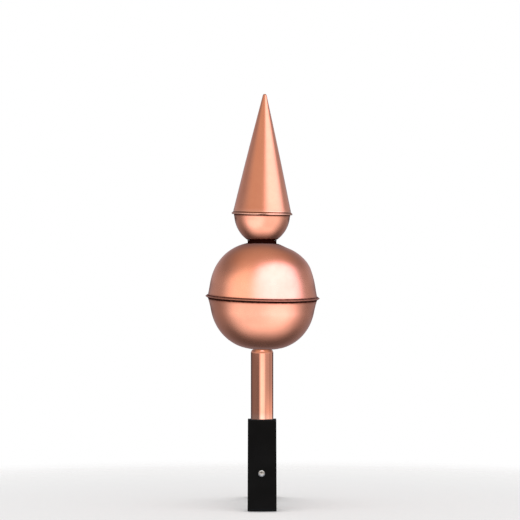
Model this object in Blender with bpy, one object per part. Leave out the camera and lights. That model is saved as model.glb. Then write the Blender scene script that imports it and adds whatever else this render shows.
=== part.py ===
"""A spun copper roof finial on a black steel ridge strap.

From the ridge upwards: a flat steel bar, bent over the ridge and screwed down on both slopes, a
copper tube as the stem, a ball of two spun copper halves, a short collar, and a spire of a spun bowl
below a spun cone. Ball and spire are each closed by a lock seam: the upper piece's lip is folded
round the lower piece's lip, which leaves the thin raised band that runs round them.

Metres, +Z up along the finial's axis. The origin is the middle of the crown's underside, where the
strap sits on the ridge. The ridge runs along X, and the front leg runs down towards -Y.
"""

import math

import bmesh
import bpy
from mathutils import Matrix, Vector

# Sheet copper, and the gap that is left wherever two pieces touch
SHEET = 0.0007
TOUCH_GAP = 0.0003

# Ridge strap, bent from flat bar. Its crown is a little larger than the tube that stands on it
STRAP_THICKNESS = 0.0048
STRAP_SIDE_MARGIN = 0.00395
CROWN_MARGIN = 0.0012
BEND_RADIUS = 0.004
ROOF_SLOPE = math.radians(45)
LEG_LENGTH = 0.146
STRAP_EDGE = 0.0005

# Pan-head roofing screws, one in each leg
SCREW_FROM_LEG_END = 0.058
SCREW_HEAD_RADIUS = 0.0042
SCREW_HEAD_FLAT_RADIUS = 0.0019
SCREW_HEAD_HEIGHT = 0.0027
SCREW_HEAD_SIDE = 0.0009
SCREW_SHANK_RADIUS = 0.0024
SCREW_REACH = 0.026
SCREW_POINT = 0.006
SCREW_HOLE_CLEARANCE = 0.0004
RECESS_ARM = 0.0021
RECESS_WIDTH = 0.0009
RECESS_DEPTH = 0.0014

# Stem tube
STEM_RADIUS = 0.0143
STEM_WALL = 0.0012
STEM_LENGTH = 0.0889
STEM_TAPER_HEIGHT = 0.0041
STEM_TAPER_INWARD = 0.0029

# Ball: each half is a rounded-square curve, cut flat where it meets the stem or the collar
BALL_RADIUS = 0.0686
BALL_UPPER_RISE = 0.0706
BALL_UPPER_FULLNESS = 2.24
BALL_LOWER_RISE = 0.0703
BALL_LOWER_FULLNESS = 2.06
BALL_FOOT_MARGIN = 0.0057
BALL_SEAM_OVERHANG = 0.0042
BALL_SEAM_FLARE = 0.0022

# Collar between the ball and the bowl
COLLAR_RADIUS = 0.0185
COLLAR_HEIGHT = 0.0042
COLLAR_SEAT_MARGIN = 0.0004

# Spire: a bowl below and a cone above
BOWL_RADIUS = 0.0359
BOWL_RISE = 0.0398
BOWL_FULLNESS = 1.96
CONE_RADIUS = 0.0368
CONE_HEIGHT = 0.1537
CONE_TIP_RADIUS = 0.0027
RIM_OVERHANG = 0.0031
RIM_FLARE = 0.0025

# How far the folded end of a lock seam stays clear of the piece inside it
FOLD_CLEARANCE = 0.0008

# How many flats stand for a full turn, and how many steps for a curve
BALL_SIDES = 56
SPIRE_SIDES = 48
STEM_SIDES = 40
SCREW_SIDES = 20
DOME_STEPS = 10
HEM_STEPS = 5
FLARE_STEPS = 3
TIP_STEPS = 4
BEND_STEPS = 5
HEAD_STEPS = 4
SMOOTH_BELOW = math.radians(35)
BEVEL_ABOVE = math.radians(60)
MERGE_DISTANCE = 1e-7

# Colour, roughness and metallic value
COPPER = ((0.93, 0.43, 0.28), 0.24, 1.0)
BLACK_STEEL = ((0.012, 0.012, 0.012), 0.5, 0.0)
ZINC = ((0.60, 0.60, 0.62), 0.3, 1.0)


def clear_scene():
    for old in list(bpy.data.objects):
        bpy.data.objects.remove(old, do_unlink=True)


def make_material(name, finish):
    colour, roughness, metallic = finish
    material = bpy.data.materials.new(name)
    material.use_nodes = True
    shader = material.node_tree.nodes["Principled BSDF"]
    shader.inputs["Base Color"].default_value = (*colour, 1.0)
    shader.inputs["Roughness"].default_value = roughness
    shader.inputs["Metallic"].default_value = metallic
    return material


def make_object(name, shape, finish):
    """Turns a bmesh into a smooth-shaded object with a material of its own."""
    mesh = bpy.data.meshes.new(name)
    shape.to_mesh(mesh)
    shape.free()
    mesh.shade_smooth()
    mesh.set_sharp_from_angle(angle=SMOOTH_BELOW)
    mesh.materials.append(make_material(name, finish))
    made = bpy.data.objects.new(name, mesh)
    bpy.context.scene.collection.objects.link(made)
    return made


def arc(centre, radius, start, end, steps):
    """Points on an arc, from the angle start to the angle end, both ends included."""
    a, b = centre
    angles = [start + (end - start) * i / steps for i in range(steps + 1)]
    return [(a + radius * math.cos(t), b + radius * math.sin(t)) for t in angles]


def turned(profile, sides, closed=False):
    """Spins a profile of (r, z) points about Z. It runs from axis to axis, or is a closed loop."""
    shape = bmesh.new()
    points = [shape.verts.new((r, 0.0, z)) for r, z in profile]
    following = points[1:] + points[:1] if closed else points[1:]
    edges = [shape.edges.new(pair) for pair in zip(points, following)]
    bmesh.ops.spin(
        shape,
        geom=points + edges,
        cent=(0, 0, 0),
        axis=(0, 0, 1),
        angle=math.tau,
        steps=sides,
        use_merge=True,
    )
    bmesh.ops.remove_doubles(shape, verts=shape.verts[:], dist=MERGE_DISTANCE)
    bmesh.ops.recalc_face_normals(shape, faces=shape.faces[:])
    return shape


def extruded(outline, offset):
    """Closes a flat outline of 3-D points into a face and pushes it along offset."""
    shape = bmesh.new()
    face = shape.faces.new([shape.verts.new(point) for point in outline])
    pushed = bmesh.ops.extrude_face_region(shape, geom=[face])
    moved = [item for item in pushed["geom"] if isinstance(item, bmesh.types.BMVert)]
    bmesh.ops.translate(shape, verts=moved, vec=offset)
    bmesh.ops.recalc_face_normals(shape, faces=shape.faces[:])
    return shape


def cut_away(target, cutter):
    """Takes the cutter's shape out of the target."""
    cutter.hide_render = True
    cutter.display_type = "WIRE"
    cut = target.modifiers.new(cutter.name, "BOOLEAN")
    cut.operation = "DIFFERENCE"
    cut.object = cutter


# Domes. A dome's side follows (r / R)^n + (z / H)^n = 1, where R is its radius at the seam, H the
# height that it would rise to if it weren't cut flat, and n its fullness (2 is an ellipse).


def dome_height(radius, rise, fullness, at_radius):
    """How far from its seam a dome's side has come where it has narrowed to at_radius."""
    return rise * (1 - (at_radius / radius) ** fullness) ** (1 / fullness)


def dome_side(radius, rise, fullness, cut_radius, start_height):
    """Points (r, z) on a dome's side, from start_height above its seam to where it is cut flat."""
    power = 2 / fullness
    cut_height = dome_height(radius, rise, fullness, cut_radius)
    first = math.asin((start_height / rise) ** (1 / power))
    last = math.asin((cut_height / rise) ** (1 / power))
    angles = [first + (last - first) * i / DOME_STEPS for i in range(DOME_STEPS + 1)]
    return [(radius * math.cos(t) ** power, rise * math.sin(t) ** power) for t in angles]


# Lock seams. A seam's middle plane is z = 0. The lower piece's lip lies there, one sheet thick, and
# the upper piece flares out over it, rounds its edge and folds back under it.

LIP_HALF = SHEET / 2
HEM_INNER = LIP_HALF + TOUCH_GAP
HEM_OUTER = HEM_INNER + SHEET


def flare_turn(body_radius, seam_radius, flare):
    """How far a flare of this radius turns from upright before it meets the fold's round edge."""
    overhang = seam_radius - body_radius
    return math.acos(max(0.0, 1 - overhang / (flare + HEM_OUTER)))


def flare_height(body_radius, seam_radius, flare):
    """How high over the seam an upper piece's side starts to flare."""
    return (flare + HEM_OUTER) * math.sin(flare_turn(body_radius, seam_radius, flare))


def folded_lip(body_radius, seam_radius, flare, inner_piece_radius):
    """The upper piece's lip, from its flare round the fold to the flat underside on the axis."""
    turn = flare_turn(body_radius, seam_radius, flare)
    side_centre = (body_radius + flare, flare_height(body_radius, seam_radius, flare))
    side = arc(side_centre, flare, math.pi, math.pi + turn, FLARE_STEPS)
    edge = arc((seam_radius - HEM_OUTER, 0.0), HEM_OUTER, turn, -math.pi / 2, HEM_STEPS)
    fold_end = inner_piece_radius + FOLD_CLEARANCE
    groove = seam_radius - SHEET
    inside = [
        (fold_end, -HEM_OUTER),
        (fold_end, -HEM_INNER),
        (groove, -HEM_INNER),
        (groove, HEM_INNER),
        (0.0, HEM_INNER),
    ]
    return side + edge + inside


def plain_lip(seam_radius, body_radius):
    """The lower piece's lip, from its flat top face on the axis to the corner under it."""
    edge = seam_radius - SHEET - TOUCH_GAP
    return [(0.0, LIP_HALF), (edge, LIP_HALF), (edge, -LIP_HALF), (body_radius, -LIP_HALF)]


# Where each piece stands, from the ridge up

STRAP_WIDTH = 2 * (STEM_RADIUS + STRAP_SIDE_MARGIN)
CROWN_HALF = STEM_RADIUS + CROWN_MARGIN
BALL_FOOT_RADIUS = STEM_RADIUS + BALL_FOOT_MARGIN
COLLAR_SEAT_RADIUS = COLLAR_RADIUS + COLLAR_SEAT_MARGIN
BALL_SEAM_RADIUS = BALL_RADIUS + BALL_SEAM_OVERHANG
RIM_RADIUS = BOWL_RADIUS + RIM_OVERHANG

BALL_LOWER = (BALL_RADIUS, BALL_LOWER_RISE, BALL_LOWER_FULLNESS, BALL_FOOT_RADIUS)
BALL_UPPER = (BALL_RADIUS, BALL_UPPER_RISE, BALL_UPPER_FULLNESS, COLLAR_SEAT_RADIUS)
BOWL = (BOWL_RADIUS, BOWL_RISE, BOWL_FULLNESS, COLLAR_SEAT_RADIUS)

STEM_Z = STRAP_THICKNESS + TOUCH_GAP
BALL_SEAM_Z = STEM_Z + STEM_LENGTH + TOUCH_GAP + dome_height(*BALL_LOWER)
COLLAR_Z = BALL_SEAM_Z + dome_height(*BALL_UPPER) + TOUCH_GAP
RIM_Z = COLLAR_Z + COLLAR_HEIGHT + TOUCH_GAP + dome_height(*BOWL)


def stem_tube():
    """Open copper tube with its top end drawn in, standing on z = 0."""
    taper_z = STEM_LENGTH - STEM_TAPER_HEIGHT
    top_radius = STEM_RADIUS - STEM_TAPER_INWARD
    profile = [
        (STEM_RADIUS, 0.0),
        (STEM_RADIUS, taper_z),
        (top_radius, STEM_LENGTH),
        (top_radius - STEM_WALL, STEM_LENGTH),
        (STEM_RADIUS - STEM_WALL, taper_z),
        (STEM_RADIUS - STEM_WALL, 0.0),
    ]
    return turned(profile, STEM_SIDES, closed=True)


def lower_dome(dome, seam_radius, sides):
    """A dome that hangs from its seam, with a plain lip at the top and a flat foot."""
    hanging = [(r, -z) for r, z in dome_side(*dome, LIP_HALF)[1:]]
    foot = (0.0, hanging[-1][1])
    return turned(plain_lip(seam_radius, dome[0]) + hanging + [foot], sides)


def ball_lower_half():
    return lower_dome(BALL_LOWER, BALL_SEAM_RADIUS, BALL_SIDES)


def ball_upper_half():
    """A dome that rises from its seam, with the folded lip that holds the lower half."""
    flare = (BALL_RADIUS, BALL_SEAM_RADIUS, BALL_SEAM_FLARE)
    side = dome_side(*BALL_UPPER, flare_height(*flare))[1:]
    top = (0.0, side[-1][1])
    return turned([top] + side[::-1] + folded_lip(*flare, BALL_RADIUS), BALL_SIDES)


def neck_collar():
    profile = [(0.0, 0.0), (COLLAR_RADIUS, 0.0), (COLLAR_RADIUS, COLLAR_HEIGHT), (0.0, COLLAR_HEIGHT)]
    return turned(profile, STEM_SIDES)


def spire_bowl():
    return lower_dome(BOWL, RIM_RADIUS, SPIRE_SIDES)


def spire_cone():
    """A straight cone that runs smoothly into a rounded tip, with a folded lip at its foot."""
    flare = (CONE_RADIUS, RIM_RADIUS, RIM_FLARE)
    tip_centre = CONE_HEIGHT - CONE_TIP_RADIUS
    side_height = tip_centre - flare_height(*flare)
    to_tip = math.hypot(CONE_RADIUS, side_height)
    half_angle = math.atan2(CONE_RADIUS, side_height) - math.asin(CONE_TIP_RADIUS / to_tip)
    tip = arc((0.0, tip_centre), CONE_TIP_RADIUS, math.pi / 2, half_angle, TIP_STEPS)[1:]
    return turned([(0.0, CONE_HEIGHT)] + tip + folded_lip(*flare, BOWL_RADIUS), SPIRE_SIDES)


def strap_line(radius, height):
    """Half of the strap's side view: one face's line (y, z), from the crown's bend to the leg's end.

    radius is the face's own bend radius, and height its height over the crown's underside.
    """
    centre = (CROWN_HALF, height - radius)
    line = arc(centre, radius, math.pi / 2, math.pi / 2 - ROOF_SLOPE, BEND_STEPS)
    y, z = line[-1]
    line.append((y + LEG_LENGTH * math.cos(ROOF_SLOPE), z - LEG_LENGTH * math.sin(ROOF_SLOPE)))
    return line


def ridge_strap():
    """The bar's side view, extruded over its width. Its edges are eased."""
    under = strap_line(BEND_RADIUS, 0.0)
    over = strap_line(BEND_RADIUS + STRAP_THICKNESS, STRAP_THICKNESS)
    rear = under + over[::-1]
    front = [(-y, z) for y, z in over + under[::-1]]
    outline = [(-STRAP_WIDTH / 2, y, z) for y, z in rear + front]
    strap = make_object("ridge_strap", extruded(outline, (STRAP_WIDTH, 0, 0)), BLACK_STEEL)
    bevel = strap.modifiers.new("eased_edges", "BEVEL")
    bevel.width = STRAP_EDGE
    bevel.segments = 1
    bevel.limit_method = "ANGLE"
    bevel.angle_limit = BEVEL_ABOVE
    return strap


def screw_place(side):
    """A screw's place on a leg's outer face, with Z out of it. side is -1 in front, 1 at the rear."""
    y, z = strap_line(BEND_RADIUS + STRAP_THICKNESS, STRAP_THICKNESS)[-1]
    y -= SCREW_FROM_LEG_END * math.cos(ROOF_SLOPE)
    z += SCREW_FROM_LEG_END * math.sin(ROOF_SLOPE)
    return Matrix.Translation((0, side * y, z)) @ Matrix.Rotation(-side * ROOF_SLOPE, 4, "X")


def screw_body():
    """Pan head over a plain shank with a point. The head's underside is a touch above z = 0."""
    dome_width = SCREW_HEAD_RADIUS - SCREW_HEAD_FLAT_RADIUS
    dome_rise = SCREW_HEAD_HEIGHT - SCREW_HEAD_SIDE
    side_top = TOUCH_GAP + SCREW_HEAD_SIDE
    angles = [math.pi / 2 * (1 - i / HEAD_STEPS) for i in range(HEAD_STEPS + 1)]
    head = [
        (SCREW_HEAD_FLAT_RADIUS + dome_width * math.cos(t), side_top + dome_rise * math.sin(t))
        for t in angles
    ]
    tip = -STRAP_THICKNESS - SCREW_REACH
    profile = [(0.0, side_top + dome_rise)] + head
    profile += [
        (SCREW_HEAD_RADIUS, TOUCH_GAP),
        (SCREW_SHANK_RADIUS, TOUCH_GAP),
        (SCREW_SHANK_RADIUS, tip + SCREW_POINT),
        (0.0, tip),
    ]
    return turned(profile, SCREW_SIDES)


def recess_driver():
    """A plus-shaped bar that stands half in the screw's head, as deep as the recess."""
    half = RECESS_WIDTH / 2
    floor = TOUCH_GAP + SCREW_HEAD_HEIGHT - RECESS_DEPTH
    outline = []
    for quarter in range(4):
        turn = Matrix.Rotation(quarter * math.pi / 2, 3, "Z")
        for x, y in ((half, half), (half, RECESS_ARM), (-half, RECESS_ARM)):
            outline.append(turn @ Vector((x, y, floor)))
    return extruded(outline, (0, 0, 2 * RECESS_DEPTH))


def hole_plug():
    """A plug right through the bar, wider than the shank by the hole's clearance."""
    radius = SCREW_SHANK_RADIUS + SCREW_HOLE_CLEARANCE
    reach = 2 * STRAP_THICKNESS
    profile = [(0.0, -reach), (radius, -reach), (radius, reach), (0.0, reach)]
    return turned(profile, SCREW_SIDES)


def add_screw(name, side, strap):
    """Bores one leg and puts its screw in the hole."""
    place = screw_place(side)
    hole = make_object(name + "_hole", hole_plug(), BLACK_STEEL)
    hole.matrix_world = place
    cut_away(strap, hole)
    screw = make_object(name, screw_body(), ZINC)
    screw.matrix_world = place
    recess = make_object(name + "_recess", recess_driver(), ZINC)
    recess.matrix_world = place
    cut_away(screw, recess)


def add_finial():
    """Stands the copper pieces on the strap, all on one axis."""
    axis = bpy.data.objects.new("finial_axis", None)
    bpy.context.scene.collection.objects.link(axis)
    pieces = [
        ("stem_tube", stem_tube, STEM_Z),
        ("ball_lower_half", ball_lower_half, BALL_SEAM_Z),
        ("ball_upper_half", ball_upper_half, BALL_SEAM_Z),
        ("neck_collar", neck_collar, COLLAR_Z),
        ("spire_bowl", spire_bowl, RIM_Z),
        ("spire_cone", spire_cone, RIM_Z),
    ]
    for name, build, height in pieces:
        piece = make_object(name, build(), COPPER)
        piece.parent = axis
        piece.location.z = height


def main():
    clear_scene()
    strap = ridge_strap()
    add_screw("front_screw", -1, strap)
    add_screw("rear_screw", 1, strap)
    add_finial()


main()
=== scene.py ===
"""Looks of a spun copper roof finial on a black steel ridge strap.

The pieces follow in the order in which the finial is put together, from the strap on the ridge up to
the tip of the cone. After them come the floor, the light and the camera. Metres, +Z up; the finial's
axis is Z, and the camera stands in front, towards -Y.
"""

import math

import bpy
from mathutils import Matrix, Vector


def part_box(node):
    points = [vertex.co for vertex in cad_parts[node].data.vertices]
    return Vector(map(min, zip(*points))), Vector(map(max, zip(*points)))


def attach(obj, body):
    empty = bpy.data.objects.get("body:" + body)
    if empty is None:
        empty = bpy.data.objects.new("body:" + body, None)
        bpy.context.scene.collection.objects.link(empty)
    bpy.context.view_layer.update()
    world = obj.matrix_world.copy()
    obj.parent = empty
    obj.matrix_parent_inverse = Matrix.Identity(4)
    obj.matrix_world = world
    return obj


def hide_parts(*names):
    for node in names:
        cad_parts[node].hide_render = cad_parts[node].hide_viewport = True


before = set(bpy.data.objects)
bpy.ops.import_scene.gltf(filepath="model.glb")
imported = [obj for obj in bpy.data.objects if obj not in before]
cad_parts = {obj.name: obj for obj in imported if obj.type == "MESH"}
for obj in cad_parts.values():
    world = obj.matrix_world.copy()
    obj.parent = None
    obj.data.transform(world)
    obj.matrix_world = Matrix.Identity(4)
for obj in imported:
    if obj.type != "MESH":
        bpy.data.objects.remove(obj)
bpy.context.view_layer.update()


# Ridge strap
# Flat steel bar, bent over the ridge and bored for one screw in each leg. It was powder-coated black
# after the bending, so the coat runs round the eased edges.

BAR_THICKNESS = 0.0048
BEND_MIDDLE_RADIUS = 0.0064
BEND_STEPS = 10
LEG_SLOPE = math.radians(45)
BAR_EDGE = 0.0006
BAR_EDGE_STEPS = 3
BAR_EDGE_ABOVE = math.radians(50)
SCREW_FROM_LEG_END = 0.0573
SCREW_SIDEWAYS = -0.0006
SCREW_HOLE_RADIUS = 0.0028
SCREW_HOLE_SIDES = 48
COAT_BLACK = (0.0036, 0.0037, 0.0038, 1.0)
COAT_RUBBED = (0.0090, 0.0090, 0.0092, 1.0)
COAT_SHEEN = 0.07
COAT_ROUGHNESS = (0.62, 0.45)
COAT_WORN_FROM = 0.0012
COAT_WORN_TO = 0.0001
COAT_PATCHES = 160
COAT_PATCH_EDGES = (0.45, 0.62)
COAT_CLOUDS = 35
COAT_CLOUD_EDGES = (0.35, 0.7)
COAT_CLOUD_SHARE = 0.25
COAT_GRAIN = 1500
COAT_GRAIN_DEPTH = 0.00008
COAT_GRAIN_STRENGTH = 0.5

strap_low, strap_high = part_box("ridge_strap")
bar_middle_z = strap_high.z - BAR_THICKNESS / 2
leg_end_y = strap_high.y - BAR_THICKNESS / 2 * math.sin(LEG_SLOPE)
leg_end_z = strap_low.z + BAR_THICKNESS / 2 * math.cos(LEG_SLOPE)
crown_corner_y = leg_end_y - (bar_middle_z - leg_end_z) / math.tan(LEG_SLOPE)


def start_piece(name):
    """Names the primitive that was just added, and its mesh."""
    piece = bpy.context.object
    piece.name = name
    piece.data.name = name
    return piece


def select_edges(piece, rule):
    """In edit mode, selects the edges whose middle the rule accepts."""
    bpy.ops.mesh.select_mode(type="EDGE")
    bpy.ops.mesh.select_all(action="DESELECT")
    bpy.ops.object.mode_set(mode="OBJECT")
    points = piece.data.vertices
    for edge in piece.data.edges:
        first, last = edge.vertices
        edge.select = rule((points[first].co + points[last].co) / 2)
    bpy.ops.object.mode_set(mode="EDIT")


def apply_modifier(piece, kind, **settings):
    """Gives a piece a modifier with these settings and applies it."""
    modifier = piece.modifiers.new(kind.lower(), kind)
    for name, value in settings.items():
        setattr(modifier, name, value)
    bpy.context.view_layer.objects.active = piece
    bpy.ops.object.modifier_apply(modifier=modifier.name)


def finish_piece(piece, material, node, smooth_below=35):
    """Shades a piece, gives it its material, and lets it stand for its node."""
    bpy.ops.object.select_all(action="DESELECT")
    piece.select_set(True)
    bpy.context.view_layer.objects.active = piece
    bpy.ops.object.shade_smooth_by_angle(angle=math.radians(smooth_below))
    piece.data.materials.clear()
    piece.data.materials.append(material)
    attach(piece, "root")
    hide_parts(node)


def new_material(name):
    """A material's data, its node tree and its shader."""
    material = bpy.data.materials.new(name)
    material.use_nodes = True
    return material, material.node_tree, material.node_tree.nodes["Principled BSDF"]


def noise(tree, vector, scale, detail=2.0):
    """A noise texture's grey value. scale is in lumps for each metre."""
    texture = tree.nodes.new("ShaderNodeTexNoise")
    texture.inputs["Scale"].default_value = scale
    texture.inputs["Detail"].default_value = detail
    tree.links.new(vector, texture.inputs["Vector"])
    return texture.outputs["Fac"]


def ramp(tree, value, low, high, to_low=0.0, to_high=1.0):
    """Turns a value between low and high smoothly into one between to_low and to_high."""
    mapped = tree.nodes.new("ShaderNodeMapRange")
    mapped.interpolation_type = "SMOOTHSTEP"
    mapped.inputs["From Min"].default_value = low
    mapped.inputs["From Max"].default_value = high
    mapped.inputs["To Min"].default_value = to_low
    mapped.inputs["To Max"].default_value = to_high
    tree.links.new(value, mapped.inputs["Value"])
    return mapped.outputs["Result"]


def calc(tree, operation, first, second=None):
    """One step of arithmetic on outputs or numbers."""
    node = tree.nodes.new("ShaderNodeMath")
    node.operation = operation
    for socket, value in zip(node.inputs, (first, second)):
        if isinstance(value, bpy.types.NodeSocket):
            tree.links.new(value, socket)
        elif value is not None:
            socket.default_value = value
    return node.outputs["Value"]


def blend_colours(tree, share, first, second):
    """A colour between two colours. Each input is an output or a fixed value."""
    node = tree.nodes.new("ShaderNodeMix")
    node.data_type = "RGBA"
    sockets = (node.inputs[0], node.inputs[6], node.inputs[7])
    for socket, value in zip(sockets, (share, first, second)):
        if isinstance(value, bpy.types.NodeSocket):
            tree.links.new(value, socket)
        else:
            socket.default_value = value
    return node.outputs[2]


def bump(tree, shader, height, depth, strength):
    """Raises a material's surface by a height of 0 to 1, times depth in metres."""
    node = tree.nodes.new("ShaderNodeBump")
    node.inputs["Distance"].default_value = depth
    node.inputs["Strength"].default_value = strength
    tree.links.new(height, node.inputs["Height"])
    tree.links.new(node.outputs["Normal"], shader.inputs["Normal"])


def powder_coat():
    """Black coat, clouded all over and rubbed grey in patches along the bar's edges."""
    material, tree, shader = new_material("black_powder_coat")
    place = tree.nodes.new("ShaderNodeTexCoord").outputs["Object"]
    axes = tree.nodes.new("ShaderNodeSeparateXYZ")
    tree.links.new(place, axes.inputs["Vector"])
    from_middle = calc(tree, "ABSOLUTE", axes.outputs["X"])
    at_edge = ramp(tree, from_middle, strap_high.x - COAT_WORN_FROM, strap_high.x - COAT_WORN_TO)
    patchy = ramp(tree, noise(tree, place, COAT_PATCHES, 3), *COAT_PATCH_EDGES)
    lightened = calc(tree, "MULTIPLY", at_edge, patchy)
    clouds = noise(tree, place, COAT_CLOUDS, 3)
    cloudy = ramp(tree, clouds, *COAT_CLOUD_EDGES, 0.0, COAT_CLOUD_SHARE)
    share = calc(tree, "MAXIMUM", lightened, cloudy)
    tree.links.new(blend_colours(tree, share, COAT_BLACK, COAT_RUBBED), shader.inputs["Base Color"])
    tree.links.new(ramp(tree, share, 0.0, 1.0, *COAT_ROUGHNESS), shader.inputs["Roughness"])
    shader.inputs["Specular IOR Level"].default_value = COAT_SHEEN
    bump(tree, shader, noise(tree, place, COAT_GRAIN), COAT_GRAIN_DEPTH, COAT_GRAIN_STRENGTH)
    return material


bpy.ops.object.select_all(action="DESELECT")
bpy.ops.mesh.primitive_plane_add(size=1, location=(0, 0, bar_middle_z))
strap = start_piece("strap_bar")
strap.scale = (2 * strap_high.x, 2 * crown_corner_y, 1)
bpy.ops.object.transform_apply(location=True, rotation=True, scale=True)
bpy.ops.object.mode_set(mode="EDIT")
for side in (-1, 1):
    select_edges(strap, lambda middle: side * middle.y > crown_corner_y - BAR_EDGE)
    leg = (0, side * (leg_end_y - crown_corner_y), leg_end_z - bar_middle_z)
    bpy.ops.mesh.extrude_region_move(TRANSFORM_OT_translate={"value": leg})
select_edges(
    strap,
    lambda middle: abs(middle.x) < BAR_EDGE and abs(abs(middle.y) - crown_corner_y) < BAR_EDGE,
)
bpy.ops.mesh.bevel(offset=BEND_MIDDLE_RADIUS * math.tan(LEG_SLOPE / 2), segments=BEND_STEPS)
bpy.ops.object.mode_set(mode="OBJECT")
apply_modifier(strap, "SOLIDIFY", thickness=BAR_THICKNESS, offset=0, use_even_offset=True)


def screw_place(side):
    """A screw's place on a leg's outer face, with Z out of it. side is -1 in front, 1 at the rear."""
    inward = SCREW_FROM_LEG_END * math.cos(LEG_SLOPE) - BAR_THICKNESS / 2 * math.sin(LEG_SLOPE)
    upward = SCREW_FROM_LEG_END * math.sin(LEG_SLOPE) + BAR_THICKNESS / 2 * math.cos(LEG_SLOPE)
    place = Matrix.Translation((SCREW_SIDEWAYS, side * (leg_end_y - inward), leg_end_z + upward))
    return place @ Matrix.Rotation(-side * LEG_SLOPE, 4, "X")


for side in (-1, 1):
    bpy.ops.object.select_all(action="DESELECT")
    bpy.ops.mesh.primitive_cylinder_add(
        vertices=SCREW_HOLE_SIDES, radius=SCREW_HOLE_RADIUS, depth=4 * BAR_THICKNESS
    )
    drill = start_piece("drill")
    drill.matrix_world = screw_place(side)
    bpy.context.view_layer.update()
    apply_modifier(strap, "BOOLEAN", object=drill, operation="DIFFERENCE")
    bpy.data.objects.remove(drill, do_unlink=True)

apply_modifier(
    strap, "BEVEL", width=BAR_EDGE, segments=BAR_EDGE_STEPS, angle_limit=BAR_EDGE_ABOVE
)
finish_piece(strap, powder_coat(), "ridge_strap")


# Screws
# Pan-head roofing screws of zinc-plated steel, one in each leg: a domed head with a cross recess, and
# a threaded shank that runs out into a point.

HEAD_RADIUS = 0.0041
HEAD_RISE = 0.0038
HEAD_SIDE = 0.0024
HEAD_FLAT = 0.0029
HEAD_EDGE = 0.0002
HEAD_STEPS = 8
HEAD_GAP = 0.0003
SCREW_SIDES = 40
NECK_LENGTH = 0.0052
THREAD_ROOT = 0.0017
THREAD_CREST = 0.0024
THREAD_PITCH = 0.0018
THREAD_STEPS = 8
THREAD_FLANK = 0.3
THREAD_RUNOUT = 0.0006
SHANK_REACH = 0.0308
SHANK_POINT = 0.006
POINT_SHARE = 0.08
RECESS_ARM = 0.0029
RECESS_WIDTH = 0.0013
RECESS_DEPTH = 0.0020
RECESS_TAPER = 0.55
RECESS_TURNS = {-1: math.radians(4), 1: math.radians(57)}
ZINC_BRIGHT = (0.66, 0.64, 0.60, 1.0)
ZINC_DULL = (0.46, 0.445, 0.42, 1.0)
ZINC_ROUGHNESS = (0.24, 0.42)
ZINC_SPANGLE = 900
ZINC_SPANGLE_EDGES = (0.35, 0.7)
ZINC_GRAIN = 2600
ZINC_GRAIN_DEPTH = 0.00003
ZINC_GRAIN_STRENGTH = 0.4


def turned(name, profile, sides, looped=False):
    """A round piece, drawn ring by ring along its profile of (radius, height) points.

    Its two ends are capped, or joined to each other where the profile is looped.
    """
    (radius, height), *rest = profile
    bpy.ops.object.select_all(action="DESELECT")
    bpy.ops.mesh.primitive_circle_add(vertices=sides, radius=radius, location=(0, 0, height))
    piece = start_piece(name)
    bpy.ops.object.transform_apply(location=True, rotation=True, scale=True)
    bpy.ops.object.mode_set(mode="EDIT")
    bpy.ops.mesh.select_mode(type="EDGE")
    bpy.ops.mesh.select_all(action="SELECT")
    for next_radius, next_height in rest:
        rise = (0, 0, next_height - height)
        bpy.ops.mesh.extrude_region_move(TRANSFORM_OT_translate={"value": rise})
        share = next_radius / radius
        bpy.ops.transform.resize(value=(share, share, 1), center_override=(0, 0, next_height))
        radius, height = next_radius, next_height
    if looped:
        bpy.ops.mesh.select_all(action="DESELECT")
        bpy.ops.mesh.select_non_manifold()
        bpy.ops.mesh.bridge_edge_loops()
    bpy.ops.mesh.select_all(action="SELECT")
    bpy.ops.mesh.fill_holes(sides=0)
    bpy.ops.mesh.normals_make_consistent(inside=False)
    bpy.ops.object.mode_set(mode="OBJECT")
    return piece


def arc(centre, radius, start, end, steps):
    """Points on an arc between two angles, both ends included."""
    angles = [start + (end - start) * i / steps for i in range(steps + 1)]
    return [(centre[0] + radius * math.cos(t), centre[1] + radius * math.sin(t)) for t in angles]


def cut_thread(screw, top, tip):
    """Winds a sharp thread round the shank and draws it down to the point."""
    for vertex in screw.data.vertices:
        x, y, z = vertex.co
        if z > top:
            continue
        turns = z / THREAD_PITCH + math.atan2(y, x) / math.tau
        from_crest = abs(turns % 1 - 0.5)
        crest = max(0.0, 1 - from_crest / THREAD_FLANK) * min(1.0, (top - z) / THREAD_PITCH)
        radius = THREAD_ROOT + (THREAD_CREST - THREAD_ROOT) * crest
        radius *= min(1.0, POINT_SHARE + (z - tip) / SHANK_POINT)
        across = Vector((x, y)).normalized() * radius
        vertex.co.x, vertex.co.y = across


def zinc():
    """Zinc plate, bright where it is new and dull in fine spangles."""
    material, tree, shader = new_material("zinc_plate")
    place = tree.nodes.new("ShaderNodeTexCoord").outputs["Object"]
    worn = ramp(tree, noise(tree, place, ZINC_SPANGLE, 3), *ZINC_SPANGLE_EDGES)
    tree.links.new(blend_colours(tree, worn, ZINC_BRIGHT, ZINC_DULL), shader.inputs["Base Color"])
    tree.links.new(ramp(tree, worn, 0.0, 1.0, *ZINC_ROUGHNESS), shader.inputs["Roughness"])
    shader.inputs["Metallic"].default_value = 1.0
    bump(tree, shader, noise(tree, place, ZINC_GRAIN), ZINC_GRAIN_DEPTH, ZINC_GRAIN_STRENGTH)
    return material


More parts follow.
